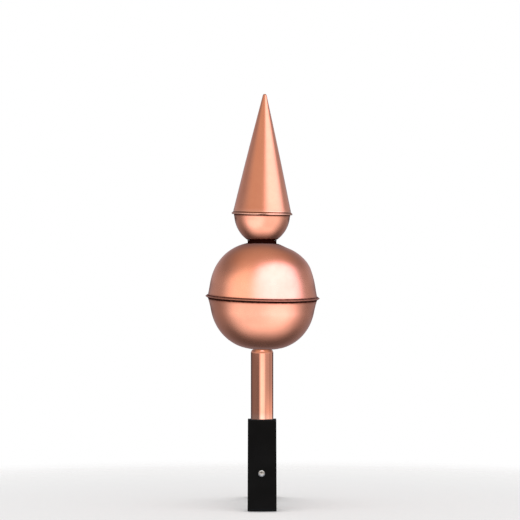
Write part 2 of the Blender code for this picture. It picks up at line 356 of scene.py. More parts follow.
head_side_top = HEAD_GAP + HEAD_SIDE
head_dome = [
    (HEAD_FLAT + (HEAD_RADIUS - HEAD_FLAT) * r, head_side_top + (HEAD_RISE - HEAD_SIDE) * z)
    for r, z in arc((0, 0), 1, math.pi / 2, 0, HEAD_STEPS)
]
shank_tip = -SHANK_REACH
thread_top = -NECK_LENGTH
ring_count = round((thread_top - shank_tip) / THREAD_PITCH * THREAD_STEPS)
shank_rings = [
    (THREAD_ROOT, thread_top + (shank_tip - thread_top) * i / ring_count) for i in range(ring_count + 1)
]
screw_profile = head_dome + [
    (HEAD_RADIUS, HEAD_GAP + HEAD_EDGE),
    (HEAD_RADIUS - HEAD_EDGE, HEAD_GAP),
    (THREAD_CREST, HEAD_GAP),
    (THREAD_CREST, thread_top + THREAD_RUNOUT),
]
screw = turned("pan_head_screw", screw_profile + shank_rings, SCREW_SIDES)
cut_thread(screw, thread_top, shank_tip)

for quarter in (0, 1):
    bpy.ops.object.select_all(action="DESELECT")
    bpy.ops.mesh.primitive_cube_add(size=1, location=(0, 0, 0))
    blade = start_piece("recess_blade")
    blade.scale = (2 * RECESS_ARM, RECESS_WIDTH, 2 * RECESS_DEPTH)
    bpy.ops.object.transform_apply(location=False, rotation=False, scale=True)
    for vertex in blade.data.vertices:
        if vertex.co.z < 0:
            vertex.co.x *= RECESS_TAPER
            vertex.co.y *= RECESS_TAPER
    turn = Matrix.Rotation(quarter * math.pi / 2, 4, "Z")
    blade.matrix_world = Matrix.Translation((0, 0, HEAD_GAP + HEAD_RISE)) @ turn
    bpy.context.view_layer.update()
    apply_modifier(screw, "BOOLEAN", object=blade, operation="DIFFERENCE")
    bpy.data.objects.remove(blade, do_unlink=True)

zinc_plate = zinc()
screws = []
for side, name, node in ((-1, "screw_in_front", "front_screw"), (1, "screw_at_rear", "rear_screw")):
    copy = screw.copy()
    copy.data = screw.data.copy()
    copy.name = name
    copy.data.name = name
    bpy.context.scene.collection.objects.link(copy)
    copy.data.transform(screw_place(side) @ Matrix.Rotation(RECESS_TURNS[side], 4, "Z"))
    finish_piece(copy, zinc_plate, node)
    screws.append(copy)
bpy.data.objects.remove(screw, do_unlink=True)


# Stem tube
# A length of hard-drawn copper tube that stands on the strap's crown. Its top end is drawn in and
# soldered under the ball, and the heat has browned it there; the shade under the ball is painted on it
# too. A bright band round its foot is a painted highlight.

STEM_WALL = 0.0012
STEM_PROUD = 0.00015
STEM_DRAWN_HEIGHT = 0.0055
STEM_DRAWN_INWARD = 0.0054
STEM_DRAWN_POWER = 0.8
STEM_DRAWN_STEPS = 10
STEM_RAISED = 0.0014
STEM_FOOT_EDGE = 0.0004
STEM_SIDES = 96
STEM_TOP_BROWN_AND_SHADE = (0.0012, 0.6)
STEM_FOOT_HIGHLIGHT = (0.005, -0.5)
STEM_HIGHLIGHT_HEIGHT = 0.002
STEM_HIGHLIGHT_RINGS = (0.002, 0.004, 0.006, 0.009, 0.013)
COPPER_CLEAN = (0.94, 0.39, 0.235, 1.0)
COPPER_AGED = (0.87, 0.33, 0.195, 1.0)
# Colours of oxide and soot, which also serve as painted shade in creases and joints, and of a painted
# highlight.
COPPER_OXIDE_AND_SHADE = (0.130, 0.022, 0.009, 1.0)
COPPER_SOOT_AND_SHADE = (0.016, 0.0035, 0.002, 1.0)
COPPER_HIGHLIGHT = (0.98, 0.60, 0.43, 1.0)
TOOL_MARKS = 800
TOOL_MARK_DRIFT = 0.02
TOOL_MARK_ROUGHNESS = 0.10
TOOL_MARK_HEIGHT = 0.12
AGED_PATCHES = 26
AGED_PATCH_EDGES = (0.36, 0.68)
AGED_PATCH_SHARE = 0.5
AGED_SMUDGES = 120
AGED_SMUDGE_EDGES = (0.42, 0.66)
AGED_SMUDGE_SHARE = 0.2
AGED_ROUGHNESS = 0.04
STAIN_AND_SHADE_SPECKS = 300
STAIN_AND_SHADE_SPECK_EDGES = (0.2, 0.75)
STAIN_AND_SHADE_SPECK_SHARES = (1.2, 0.9)
STAIN_AND_SHADE_ROUGHNESS = 0.2
SOOT_AND_SHADE_FROM = 0.70
SHEET_WAVES = 38
RELIEF_STRENGTH = 0.35

tube_low, tube_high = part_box("stem_tube")


def stain_and_paint_light(piece, marks):
    """Notes on each vertex how dark the copper is, from oxide and painted shade, for the material to
    read.

    A mark is (radius, height, reach, share): a ring where the darkening is deepest, and from which it
    fades over its reach. Where the share is below 0, a highlight is painted on instead.
    """
    brown_and_shade = piece.data.attributes.new("brown_and_shade", "FLOAT", "POINT")
    for vertex, value in zip(piece.data.vertices, brown_and_shade.data):
        radius = math.hypot(vertex.co.x, vertex.co.y)
        fades = [
            share * math.exp(-((radius - r) ** 2 + (vertex.co.z - z) ** 2) / reach**2)
            for r, z, reach, share in marks
        ]
        value.value = max(fades) + min(0.0, *fades)


def copper_skin():
    """The node group for all spun and drawn copper: colour, roughness and height of its surface.

    Rings is how plain the tool marks round the axis are. Brown_and_shade is how far the metal is
    darkened, by oxide and by painted shade, up to black at 1; below 0 it is how bright a painted
    highlight is.
    """
    tree = bpy.data.node_groups.new("copper_skin", "ShaderNodeTree")
    for name, default in (("Brown_and_shade", 0.0), ("Rings", 0.5), ("Roughness", 0.25)):
        socket = tree.interface.new_socket(name, in_out="INPUT", socket_type="NodeSocketFloat")
        socket.default_value = default
    tree.interface.new_socket("Color", in_out="OUTPUT", socket_type="NodeSocketColor")
    for name in ("Metallic", "Roughness", "Height"):
        tree.interface.new_socket(name, in_out="OUTPUT", socket_type="NodeSocketFloat")
    given = tree.nodes.new("NodeGroupInput").outputs
    result = tree.nodes.new("NodeGroupOutput").inputs

    place = tree.nodes.new("ShaderNodeTexCoord").outputs["Object"]
    axes = tree.nodes.new("ShaderNodeSeparateXYZ")
    tree.links.new(place, axes.inputs["Vector"])
    flat = tree.nodes.new("ShaderNodeCombineXYZ")
    tree.links.new(axes.outputs["X"], flat.inputs["X"])
    tree.links.new(axes.outputs["Y"], flat.inputs["Y"])
    length = tree.nodes.new("ShaderNodeVectorMath")
    length.operation = "LENGTH"
    tree.links.new(flat.outputs["Vector"], length.inputs[0])
    round_axis = tree.nodes.new("ShaderNodeCombineXYZ")
    tree.links.new(length.outputs["Value"], round_axis.inputs["X"])
    tree.links.new(axes.outputs["Z"], round_axis.inputs["Y"])
    tree.links.new(calc(tree, "MULTIPLY", axes.outputs["X"], TOOL_MARK_DRIFT), round_axis.inputs["Z"])

    rings = noise(tree, round_axis.outputs["Vector"], TOOL_MARKS, 3)
    patches = ramp(tree, noise(tree, place, AGED_PATCHES, 4), *AGED_PATCH_EDGES)
    smudges = ramp(tree, noise(tree, place, AGED_SMUDGES, 3), *AGED_SMUDGE_EDGES)
    patches = calc(tree, "MULTIPLY", patches, AGED_PATCH_SHARE)
    smudges = calc(tree, "MULTIPLY", smudges, AGED_SMUDGE_SHARE)
    worn = calc(tree, "ADD", patches, smudges)
    metal = blend_colours(tree, worn, COPPER_CLEAN, COPPER_AGED)
    # Below 0 the value paints a highlight, blending the copper towards a pale colour.
    lightened = calc(tree, "MAXIMUM", calc(tree, "MULTIPLY", given["Brown_and_shade"], -1.0), 0.0)
    metal = blend_colours(tree, lightened, metal, COPPER_HIGHLIGHT)
    # Above 0 it darkens the copper towards brown and black: real oxide, and painted shade in creases and
    # joints.
    specks = noise(tree, place, STAIN_AND_SHADE_SPECKS, 3)
    uneven = ramp(tree, specks, *STAIN_AND_SHADE_SPECK_EDGES, *STAIN_AND_SHADE_SPECK_SHARES)
    darkened = calc(tree, "MULTIPLY", given["Brown_and_shade"], uneven)
    darkened = calc(tree, "MAXIMUM", calc(tree, "MINIMUM", darkened, 1.0), 0.0)
    # Near the top of that range the copper turns black and stops being metal, for soot and the deepest
    # painted shade.
    soot_and_shade = ramp(tree, darkened, SOOT_AND_SHADE_FROM, 1.0)
    tree.links.new(calc(tree, "SUBTRACT", 1.0, soot_and_shade), result["Metallic"])
    oxide_and_shade = blend_colours(tree, soot_and_shade, COPPER_OXIDE_AND_SHADE, COPPER_SOOT_AND_SHADE)
    tree.links.new(blend_colours(tree, darkened, metal, oxide_and_shade), result["Color"])

    streaks = calc(tree, "MULTIPLY", calc(tree, "SUBTRACT", rings, 0.5), given["Rings"])
    rough = given["Roughness"]
    for cause, amount in (
        (streaks, TOOL_MARK_ROUGHNESS),
        (worn, AGED_ROUGHNESS),
        (darkened, STAIN_AND_SHADE_ROUGHNESS),
    ):
        rough = calc(tree, "ADD", rough, calc(tree, "MULTIPLY", cause, amount))
    tree.links.new(rough, result["Roughness"])
    marks = calc(tree, "MULTIPLY", streaks, TOOL_MARK_HEIGHT)
    tree.links.new(calc(tree, "ADD", marks, noise(tree, place, SHEET_WAVES, 1)), result["Height"])
    return tree


def copper(name, rings, roughness, relief):
    """A copper piece's material. relief is how deep its unevenness is, in metres."""
    material, tree, shader = new_material(name)
    skin = tree.nodes.new("ShaderNodeGroup")
    skin.node_tree = skin_group
    skin.inputs["Rings"].default_value = rings
    skin.inputs["Roughness"].default_value = roughness
    brown_and_shade = tree.nodes.new("ShaderNodeAttribute")
    brown_and_shade.attribute_name = "brown_and_shade"
    tree.links.new(brown_and_shade.outputs["Fac"], skin.inputs["Brown_and_shade"])
    tree.links.new(skin.outputs["Color"], shader.inputs["Base Color"])
    tree.links.new(skin.outputs["Roughness"], shader.inputs["Roughness"])
    tree.links.new(skin.outputs["Metallic"], shader.inputs["Metallic"])
    shader.inputs["Specular IOR Level"].default_value = 0.0
    bump(tree, shader, skin.outputs["Height"], relief, RELIEF_STRENGTH)
    return material


skin_group = copper_skin()
tube_radius = tube_high.x + STEM_PROUD
drawn_z = tube_high.z + STEM_RAISED - STEM_DRAWN_HEIGHT
drawn_radius = tube_radius - STEM_DRAWN_INWARD
drawn_curve = [
    (drawn_radius + STEM_DRAWN_INWARD * r**STEM_DRAWN_POWER, drawn_z + STEM_DRAWN_HEIGHT * z)
    for r, z in arc((0, 0), 1, 0, math.pi / 2, STEM_DRAWN_STEPS)
]
inside_curve = [(r - STEM_WALL, z) for r, z in drawn_curve[::-1]]
tube_profile = [(tube_radius - STEM_FOOT_EDGE, tube_low.z), (tube_radius, tube_low.z + STEM_FOOT_EDGE)]
tube_profile += [(tube_radius, tube_low.z + rise) for rise in STEM_HIGHLIGHT_RINGS]
tube_profile += drawn_curve + inside_curve + [(tube_radius - STEM_WALL, tube_low.z)]
tube = turned("copper_tube", tube_profile, STEM_SIDES, looped=True)
stain_and_paint_light(
    tube,
    [
        # Browning from the solder's heat, with painted shade under the ball.
        (drawn_radius, tube_high.z + STEM_RAISED, *STEM_TOP_BROWN_AND_SHADE),
        # A painted highlight: a bright band round the foot.
        (tube_radius, tube_low.z + STEM_HIGHLIGHT_HEIGHT, *STEM_FOOT_HIGHLIGHT),
    ],
)
drawn_copper = copper("drawn_copper", rings=0.15, roughness=0.085, relief=0.00004)
finish_piece(tube, drawn_copper, "stem_tube")


# Ball
# Two domes spun from copper sheet and closed by a lock seam: the upper one's lip flares out over the
# lower one's and is hammered down round it, so it tilts and runs a little out of true. The heat of
# soldering has left soot round the neck and browned the foot, and shade is painted over both, and
# into the creases above and below the fold.

BALL_RADIUS = 0.0686
BALL_UPPER_FULLNESS = 2.24
BALL_LOWER_RADIUS = 0.0677
BALL_LOWER_FULLNESS = 2.25
BALL_FOOT_RADIUS = 0.0165
BALL_FOOT_RAISED = 0.0003
FOOT_PRESSED_IN = 0.0006
FOOT_REACH = 0.0055
BALL_TOP_RADIUS = 0.0195
BALL_TOP_RAISED = 0.0003
SEAM_FLARE_HEIGHT = 0.0034
UPPER_SPREAD = (0.0019, 0.017)
LOWER_SPREAD = (0.0033, 0.018)
BALL_OFFSET = 0.0006
SEAM_FOLD_HALF = 0.0018
SEAM_TIP_HALF = 0.0005
SEAM_GROOVE = 0.0005
SEAM_TIP_OUT = 0.0006
FOLD_ROOT_OUT = 0.0024
FOLD_UNDERCUT = 0.0006
FOLD_EDGE_ANGLE = math.radians(62)
FOLD_EDGE_FULLNESS = 1.1
FOLD_EDGE_STEPS = 8
FLARE_STEPS = 7
LIP_HALF = 0.00035
LIP_CLEARANCE = 0.0003
LIP_OUT = 0.0002
SEAM_LEAN_SIDEWAYS = math.radians(1.4)
SEAM_LEAN_FORWARD = math.radians(2.2)
BALL_LEAN = 0.005
SHOULDER_SWELL = 0.0014
SHOULDER_HEIGHT = 0.2065
SHOULDER_REACH = 0.011
SHOULDER_DENT = 0.0013
DENT_RADIUS = 0.031
DENT_REACH = 0.009
DOME_STEPS = 52
BALL_SIDES = 192
BALL_SMOOTH_BELOW = 50
GROOVE_SHADE = (0.0013, 1.1)
FOLD_TARNISH = (0.0030, 0.48)
FOLD_TARNISH_OUT = 0.001
FOLD_UNDER_SHADE = (0.0020, 1.3)
FOLD_UNDER_OUT = 0.0006
FOLD_UNDER_UP = 0.0002
SEAM_SHADE = (0.0022, 1.3)
SEAM_SHADE_OUT = 0.0015
FOOT_BROWN_AND_SHADE = (0.0050, 1.0)
NECK_SOOT_AND_SHADE = (0.0060, 1.15)
NECK_TARNISH_AND_SHADE = (0.0150, 0.68)
NECK_SHADE_HEIGHT = 0.205
NECK_SHADE_GAP_X = 0.005
NECK_SHADE_IN_FRONT = 0.5
NECK_SHADE_AT_SIDES = 1.15

lower_low, lower_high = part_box("ball_lower_half")
upper_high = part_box("ball_upper_half")[1]
seam_z = lower_high.z - LIP_HALF
seam_radius = upper_high.x + SEAM_TIP_OUT


def dome(radius, fullness, cut_radius, cut_height, start):
    """Points from start above a dome's seam to where it is cut flat, for (r/R)^n + (z/H)^n = 1.

    They stand closer together towards the seam.
    """
    rise = cut_height / (1 - (cut_radius / radius) ** fullness) ** (1 / fullness)
    power = 2 / fullness
    first = math.asin((start / rise) ** (1 / power))
    last = math.asin((cut_height / rise) ** (1 / power))
    angles = [first + (last - first) * (i / DOME_STEPS) ** 1.5 for i in range(DOME_STEPS + 1)]
    return [(radius * math.cos(t) ** power, rise * math.sin(t) ** power) for t in angles]


def flare(body_radius, flare_height, fold_radius, fold_half):
    """A lip's hollow curve, from upright on the body out to where it meets the fold."""
    out = fold_radius - body_radius
    down = flare_height - fold_half
    angles = [math.pi / 2 * i / FLARE_STEPS for i in range(FLARE_STEPS + 1)]
    return [
        (body_radius + out * (1 - math.cos(t)), flare_height - down * math.sin(t)) for t in angles
    ]


def fold(root_radius, tip_radius, root_half, tip_half, groove):
    """The hammered fold's outside, from its groove above, round its edge, to its groove below.

    Each face has a shallow groove beside its root.
    """
    step = tip_radius - root_radius
    upper = [
        (root_radius - groove, root_half - 0.2 * groove),
        (root_radius + 0.06 * step, root_half - groove),
        (root_radius + 0.22 * step, root_half - 0.75 * groove),
    ]
    edge_centre = tip_radius - 2 * tip_half
    rounded = [
        (edge_centre + 2 * tip_half * r, FOLD_EDGE_FULLNESS * tip_half * z)
        for r, z in arc((0, 0), 1, FOLD_EDGE_ANGLE, -FOLD_EDGE_ANGLE, FOLD_EDGE_STEPS)
    ]
    lower = [(r, -z) for r, z in upper[::-1]]
    return upper + rounded + lower


def lift(points, height, flip=1):
    """A profile's points moved up to a height, or hung under it where flip is -1."""
    return [(r, height + flip * z) for r, z in points]


def spread(points, amount, height):
    """A dome's points, widened by amount at the seam and less and less up to a height."""
    return [(r + amount * max(0.0, 1 - z / height) ** 2, z) for r, z in points]


def lean_ball(piece):
    """Sets a half of the ball off axis and out of true, as a hand-made ball is.

    It stands a little to the right and leans there, and its seam tilts sideways and forward. The
    upper half's right shoulder is swollen, and dented beside the neck.
    """
    for vertex in piece.data.vertices:
        x, y, z = vertex.co
        from_seam = min(1.0, abs(z - seam_z) / (upper_high.z - seam_z))
        forward = math.cos(math.pi / 2 * from_seam) ** 2 * math.tan(SEAM_LEAN_FORWARD)
        radius = math.hypot(x, y)
        rightness = max(0.0, x / radius) ** 2 if z > seam_z else 0.0
        swell = SHOULDER_SWELL * rightness * math.exp(-(((z - SHOULDER_HEIGHT) / SHOULDER_REACH) ** 2))
        dent = SHOULDER_DENT * rightness * math.exp(-(((radius - DENT_RADIUS) / DENT_REACH) ** 2))
        vertex.co.x += BALL_OFFSET + BALL_LEAN * (z - seam_z) + swell * x / radius
        vertex.co.y += swell * y / radius
        vertex.co.z += y * forward - x * math.tan(SEAM_LEAN_SIDEWAYS) - dent


fold_root = BALL_RADIUS + FOLD_ROOT_OUT
top_z = upper_high.z + BALL_TOP_RAISED
upper_dome = dome(
    BALL_RADIUS, BALL_UPPER_FULLNESS, BALL_TOP_RADIUS, top_z - seam_z, SEAM_FLARE_HEIGHT
)
upper_dome = spread(upper_dome, *UPPER_SPREAD)
upper_fold = fold(fold_root, seam_radius, SEAM_FOLD_HALF, SEAM_TIP_HALF, SEAM_GROOVE)
upper_profile = upper_dome[::-1]
upper_profile += flare(upper_dome[0][0], SEAM_FLARE_HEIGHT, fold_root, SEAM_FOLD_HALF)[1:]
upper_profile += upper_fold
undercut_radius = fold_root - FOLD_UNDERCUT
slot_half = LIP_HALF + LIP_CLEARANCE
upper_profile += [(undercut_radius, -slot_half), (undercut_radius, slot_half)]
ball_upper = turned("ball_upper_dome", lift(upper_profile, seam_z), BALL_SIDES)
ball_copper = copper("spun_copper_ball", rings=0.4, roughness=0.27, relief=0.0004)
stain_and_paint_light(
    ball_upper,
    [
        # Painted shade in the groove above the fold.
        (fold_root, seam_z + SEAM_FOLD_HALF, *GROOVE_SHADE),
        (fold_root + FOLD_TARNISH_OUT, seam_z, *FOLD_TARNISH),
        # Painted shadow under the fold.
        (fold_root + FOLD_UNDER_OUT, seam_z - SEAM_FOLD_HALF + FOLD_UNDER_UP, *FOLD_UNDER_SHADE),
        # Soot and tarnish round the neck, with the spire's shadow painted over them.
        (BALL_TOP_RADIUS, top_z, *NECK_SOOT_AND_SHADE),
        (BALL_TOP_RADIUS, top_z, *NECK_TARNISH_AND_SHADE),
    ],
)
# The soot, tarnish and painted shade round the neck are lighter in front and darker at the sides,
# where the spire's shadow is painted deeper.
for vertex, value in zip(ball_upper.data.vertices, ball_upper.data.attributes["brown_and_shade"].data):
    x, y, z = vertex.co
    if z > NECK_SHADE_HEIGHT:
        sideways = (x - NECK_SHADE_GAP_X) / math.hypot(x - NECK_SHADE_GAP_X, y)
        value.value *= NECK_SHADE_IN_FRONT + (NECK_SHADE_AT_SIDES - NECK_SHADE_IN_FRONT) * sideways**2
lean_ball(ball_upper)
finish_piece(ball_upper, ball_copper, "ball_upper_half", BALL_SMOOTH_BELOW)

foot_z = lower_low.z + BALL_FOOT_RAISED
lower_dome = dome(
    BALL_LOWER_RADIUS, BALL_LOWER_FULLNESS, BALL_FOOT_RADIUS, seam_z - foot_z, slot_half
)
lower_dome = spread(lower_dome, *LOWER_SPREAD)
# The foot is pressed in a little round the tube.
foot_start = seam_z - foot_z - FOOT_REACH
lower_dome = [
    (r, z - FOOT_PRESSED_IN * max(0.0, (z - foot_start) / FOOT_REACH) ** 2) for r, z in lower_dome
]
lip_radius = lower_dome[0][0] + LIP_OUT
lower_profile = [(lip_radius, -LIP_HALF), (lip_radius, LIP_HALF)] + lower_dome
ball_lower = turned("ball_lower_dome", lift(lower_profile, seam_z, -1), BALL_SIDES)
stain_and_paint_light(
    ball_lower,
    [
        (BALL_RADIUS + SEAM_SHADE_OUT, seam_z - SEAM_FOLD_HALF, *SEAM_SHADE),
        # Browning from the solder, with painted shade where the ball meets the tube.
        (BALL_FOOT_RADIUS, foot_z, *FOOT_BROWN_AND_SHADE),
    ],
)
lean_ball(ball_lower)
finish_piece(ball_lower, ball_copper, "ball_lower_half", BALL_SMOOTH_BELOW)


# Neck collar
# A short turned ring of copper, soldered between ball and spire. Flux and heat have darkened it, and
# the shade in the gap between ball and spire is painted on it, so it is almost black. Its side is
# slightly hollow, and its lower edge follows the tilt of the ball.

COLLAR_HOLLOW = 0.0003
COLLAR_SUNK = 0.0006
COLLAR_STEPS = 10
COLLAR_SIDES = 128
COLLAR_SOOT_AND_SHADE = (0.02, 1.1)

collar_low, collar_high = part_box("neck_collar")
collar_height = collar_high.z - collar_low.z
collar_profile = [
    (
        collar_high.x + COLLAR_HOLLOW - COLLAR_HOLLOW * math.sin(math.pi * i / COLLAR_STEPS),
        collar_low.z + collar_height * i / COLLAR_STEPS,
    )
    for i in range(COLLAR_STEPS + 1)
]
collar = turned("soldered_collar", collar_profile, COLLAR_SIDES)
for vertex in collar.data.vertices:
    share = (collar_high.z - vertex.co.z) / collar_height
    vertex.co.z -= (COLLAR_SUNK + vertex.co.x * math.tan(SEAM_LEAN_SIDEWAYS)) * share
stain_and_paint_light(collar, [(collar_high.x, collar_low.z + collar_height / 2, *COLLAR_SOOT_AND_SHADE)])
browned_and_shaded_copper = copper("browned_and_shaded_copper", rings=0.2, roughness=0.3, relief=0.00006)
finish_piece(collar, browned_and_shaded_copper, "neck_collar")


# Spire
# A spun bowl below and a spun cone above, closed by a lock seam like the ball's but rolled into a
# rounder bead. The spire leans a little to the right, and the bead is pinched in front. Shade is
# painted into the bead's grooves and over the soot at the bowl's foot, and highlights on and above
# the bead.

BOWL_RADIUS = 0.0359
BOWL_FULLNESS = 2.02
BOWL_FOOT_RADIUS = 0.0189
CONE_RADIUS = 0.0368
CONE_TIP_RADIUS = 0.0026
CONE_TIP_STEPS = 8
CONE_TIP_END = math.pi / 2 * 0.97
RIM_FLARE_HEIGHT = 0.0040
BEAD_HALF = 0.0013
BEAD_DEPTH = 0.0011
BEAD_GROOVE = 0.0003
BEAD_WRAP = 78
BEAD_FULLNESS = 0.7
BEAD_STEPS = 12
BEAD_STEP_UP = 0.0004
BEAD_INSIDE = 0.0013
BOWL_SPREAD = (0.0008, 0.006)
PINCH_X = 0.0012
PINCH_WIDTH = 0.0055
PINCH_REACH = 0.0018
PINCH_RISE = 0.0004
PINCH_DEPTH = 0.55
PINCH_DENT = 0.0004
SPIRE_LEAN = math.radians(1.3)
CONE_STEPS = 40
CONE_SWELL = 0.0004
SPIRE_SIDES = 160
SPIRE_SMOOTH_BELOW = 50
CONE_FOOT_HIGHLIGHT = (0.0007, -0.6)
CONE_FOOT_OUT = 0.0003
CONE_FOOT_UP = 0.0016
BEAD_TOP_SHADE = (0.0011, 1.2)
BEAD_UNDER_SHADE = (0.0011, 1.15)
BEAD_HIGHLIGHT = (0.0007, -0.9)
BOWL_SHADE = (0.0015, 1.1)
BOWL_SHADE_OUT = 0.0005
BOWL_SHADE_DOWN = 0.0002
BOWL_FOOT_SOOT_AND_SHADE = (0.0050, 1.15)
BOWL_FOOT_TARNISH_AND_SHADE = (0.0085, 0.75)

bowl_low, bowl_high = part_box("spire_bowl")
cone_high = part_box("spire_cone")[1]
rim_z = bowl_high.z - LIP_HALF
rim_radius = cone_high.x


def cone_side(foot_radius, foot_height, tip_height, tip_radius):
    """An almost straight side from the foot up, running smoothly into a rounded tip."""
    centre = tip_height - tip_radius
    rise = centre - foot_height
    half_angle = math.atan2(foot_radius, rise) - math.asin(tip_radius / math.hypot(foot_radius, rise))
    tip = arc((0, centre), tip_radius, half_angle, CONE_TIP_END, CONE_TIP_STEPS)
    first_r, first_z = tip[0]
    side = []
    for i in range(CONE_STEPS):
        swell = CONE_SWELL * math.sin(math.pi * i / CONE_STEPS)
        radius = foot_radius + (first_r - foot_radius) * i / CONE_STEPS + swell
        side.append((radius, foot_height + (first_z - foot_height) * i / CONE_STEPS))
    return side + tip


def bead(root_radius, edge_radius, half, groove):
    """A rolled bead's outside, from its groove above, round its edge, to its groove below.

    It wraps round by BEAD_WRAP degrees above and below its middle.
    """
    depth = edge_radius - root_radius
    angles = [math.radians(BEAD_WRAP - 2 * BEAD_WRAP * i / BEAD_STEPS) for i in range(BEAD_STEPS + 1)]
    rounded = [
        (root_radius + depth * math.cos(t) ** BEAD_FULLNESS, half * math.sin(t)) for t in angles
    ]
    return [(root_radius - groove, half + 0.3 * groove)] + rounded + [(root_radius - groove, -half)]


spire_copper = copper("spun_copper_spire", rings=0.35, roughness=0.22, relief=0.00006)
bead_root = rim_radius - BEAD_DEPTH
cone_profile = cone_side(CONE_RADIUS, RIM_FLARE_HEIGHT, cone_high.z - rim_z, CONE_TIP_RADIUS)[::-1]
cone_profile += flare(CONE_RADIUS, RIM_FLARE_HEIGHT, bead_root, BEAD_HALF + BEAD_STEP_UP)[1:]
cone_profile += bead(bead_root, rim_radius, BEAD_HALF, BEAD_GROOVE)
inner_radius = BOWL_RADIUS + BEAD_INSIDE
cone_profile += [(inner_radius, -BEAD_HALF), (inner_radius, slot_half)]
cone = turned("spire_cone_sheet", lift(cone_profile, rim_z), SPIRE_SIDES)
stain_and_paint_light(
    cone,
    [
        # A painted highlight on the flare just above the bead.
        (CONE_RADIUS + CONE_FOOT_OUT, rim_z + BEAD_HALF + CONE_FOOT_UP, *CONE_FOOT_HIGHLIGHT),
        # Painted shade in the groove above the bead and under it.
        (bead_root - BEAD_GROOVE, rim_z + BEAD_HALF, *BEAD_TOP_SHADE),
        (bead_root - BEAD_GROOVE, rim_z - BEAD_HALF, *BEAD_UNDER_SHADE),
        # A painted highlight along the bead's edge.
        (rim_radius, rim_z, *BEAD_HIGHLIGHT),
    ],
)
for vertex in cone.data.vertices:
    x, y, z = vertex.co
    if y < 0 and abs(z - rim_z) < PINCH_REACH:
        pinch = math.exp(-((x - PINCH_X) / PINCH_WIDTH) ** 2)
        vertex.co.z += (rim_z + PINCH_RISE - z) * PINCH_DEPTH * pinch
        vertex.co.y += PINCH_DENT * pinch
upright = Matrix.Translation((0, 0, rim_z)) @ Matrix.Rotation(SPIRE_LEAN, 4, "Y")
cone.data.transform(upright @ Matrix.Translation((0, 0, -rim_z)))
finish_piece(cone, spire_copper, "spire_cone", SPIRE_SMOOTH_BELOW)

bowl_dome = dome(BOWL_RADIUS, BOWL_FULLNESS, BOWL_FOOT_RADIUS, rim_z - bowl_low.z, slot_half)
bowl_dome = spread(bowl_dome, *BOWL_SPREAD)
lip_radius = bowl_dome[0][0] + LIP_OUT
bowl_profile = [(lip_radius, -LIP_HALF), (lip_radius, LIP_HALF)] + bowl_dome
bowl = turned("spire_bowl_sheet", lift(bowl_profile, rim_z, -1), SPIRE_SIDES)
stain_and_paint_light(
    bowl,
    [
        (BOWL_RADIUS + BOWL_SHADE_OUT, rim_z - BEAD_HALF - BOWL_SHADE_DOWN, *BOWL_SHADE),
        # Soot and tarnish at the bowl's foot, with the shade of the neck painted over them.
        (BOWL_FOOT_RADIUS, bowl_low.z, *BOWL_FOOT_SOOT_AND_SHADE),
        (BOWL_FOOT_RADIUS, bowl_low.z, *BOWL_FOOT_TARNISH_AND_SHADE),
    ],
)
for vertex in bowl.data.vertices:
    share = (vertex.co.z - bowl_low.z) / (rim_z - bowl_low.z)
    vertex.co.z -= vertex.co.x * math.tan(SPIRE_LEAN) * share**2
finish_piece(bowl, spire_copper, "spire_bowl", SPIRE_SMOOTH_BELOW)


# Floor
# A plain pale disc just under the legs' ends, which fades out into the white round it. It shows in no
# reflection and throws no shadow.

FLOOR_RADIUS = 0.85
FLOOR_FADE = 0.30
FLOOR_WHITE = (0.90, 0.90, 0.90, 1.0)
FLOOR_GAP = 0.0004
FLOOR_SIDES = 96
FLOOR_ROUGHNESS = 0.9

bpy.ops.object.select_all(action="DESELECT")
bpy.ops.mesh.primitive_circle_add(
    vertices=FLOOR_SIDES,
    radius=FLOOR_RADIUS,
    fill_type="NGON",
    location=(0, 0, strap_low.z - FLOOR_GAP),
)
floor = start_piece("floor")
pale, pale_tree, pale_shader = new_material("pale_floor")
floor_place = pale_tree.nodes.new("ShaderNodeTexCoord").outputs["Object"]
from_centre = pale_tree.nodes.new("ShaderNodeVectorMath")
from_centre.operation = "LENGTH"
pale_tree.links.new(floor_place, from_centre.inputs[0])
shown = ramp(pale_tree, from_centre.outputs["Value"], FLOOR_FADE, FLOOR_RADIUS * 0.97, 1.0, 0.0)
pale_tree.links.new(shown, pale_shader.inputs["Alpha"])
pale_shader.inputs["Base Color"].default_value = FLOOR_WHITE
pale_shader.inputs["Roughness"].default_value = FLOOR_ROUGHNESS
pale_shader.inputs["Specular IOR Level"].default_value = 0.0
floor.data.materials.append(pale)
floor.visible_glossy = False
floor.visible_shadow = False


# Light
# A bright studio, white all round for the eye and for dull surfaces. The metal sees a bright front,
# a dim back and a band at the horizon, warm above and cool below. Softboxes with faded edges light
# single pieces, and the copper and the strap don't show in each other's reflections.

WORLD_SCALE = 2.6
COOL_GLOW = (0.96, 1.0, 1.13, 1.0)
WARM_GLOW = (1.08, 0.96, 0.86, 1.0)
FRONT_LEVELS = ((0.0, 0.95), (0.03, 1.30), (0.09, 1.45), (0.20, 1.25), (0.35, 1.35), (0.46, 1.38),
                (0.58, 0.70), (0.73, 0.61), (0.89, 0.74), (1.0, 0.60))
BACK_LEVELS = ((0.0, 0.08), (0.10, 0.10), (0.33, 0.28), (0.50, 0.42), (0.58, 0.47), (0.66, 0.38),
               (0.745, 0.26), (0.85, 0.30), (0.93, 0.42), (1.0, 0.48))
HORIZON_LEVELS = ((0.0, 0.25), (0.17, 0.22), (0.23, 0.26), (0.31, 1.05), (0.42, 1.85), (0.50, 1.80),
                  (0.60, 1.75), (0.70, 1.50), (0.79, 0.72), (0.90, 0.60), (0.98, 0.60), (1.0, 0.42))
BEHIND_LEVEL = 0.11
FRONT_SKEW = 0.05
FRONT_BLEND = (-0.38, 0.55)
HORIZON_DROP = 0.04
HORIZON_BAND = (0.05, 0.12)
BEHIND_BLEND = (0.35, 0.75)
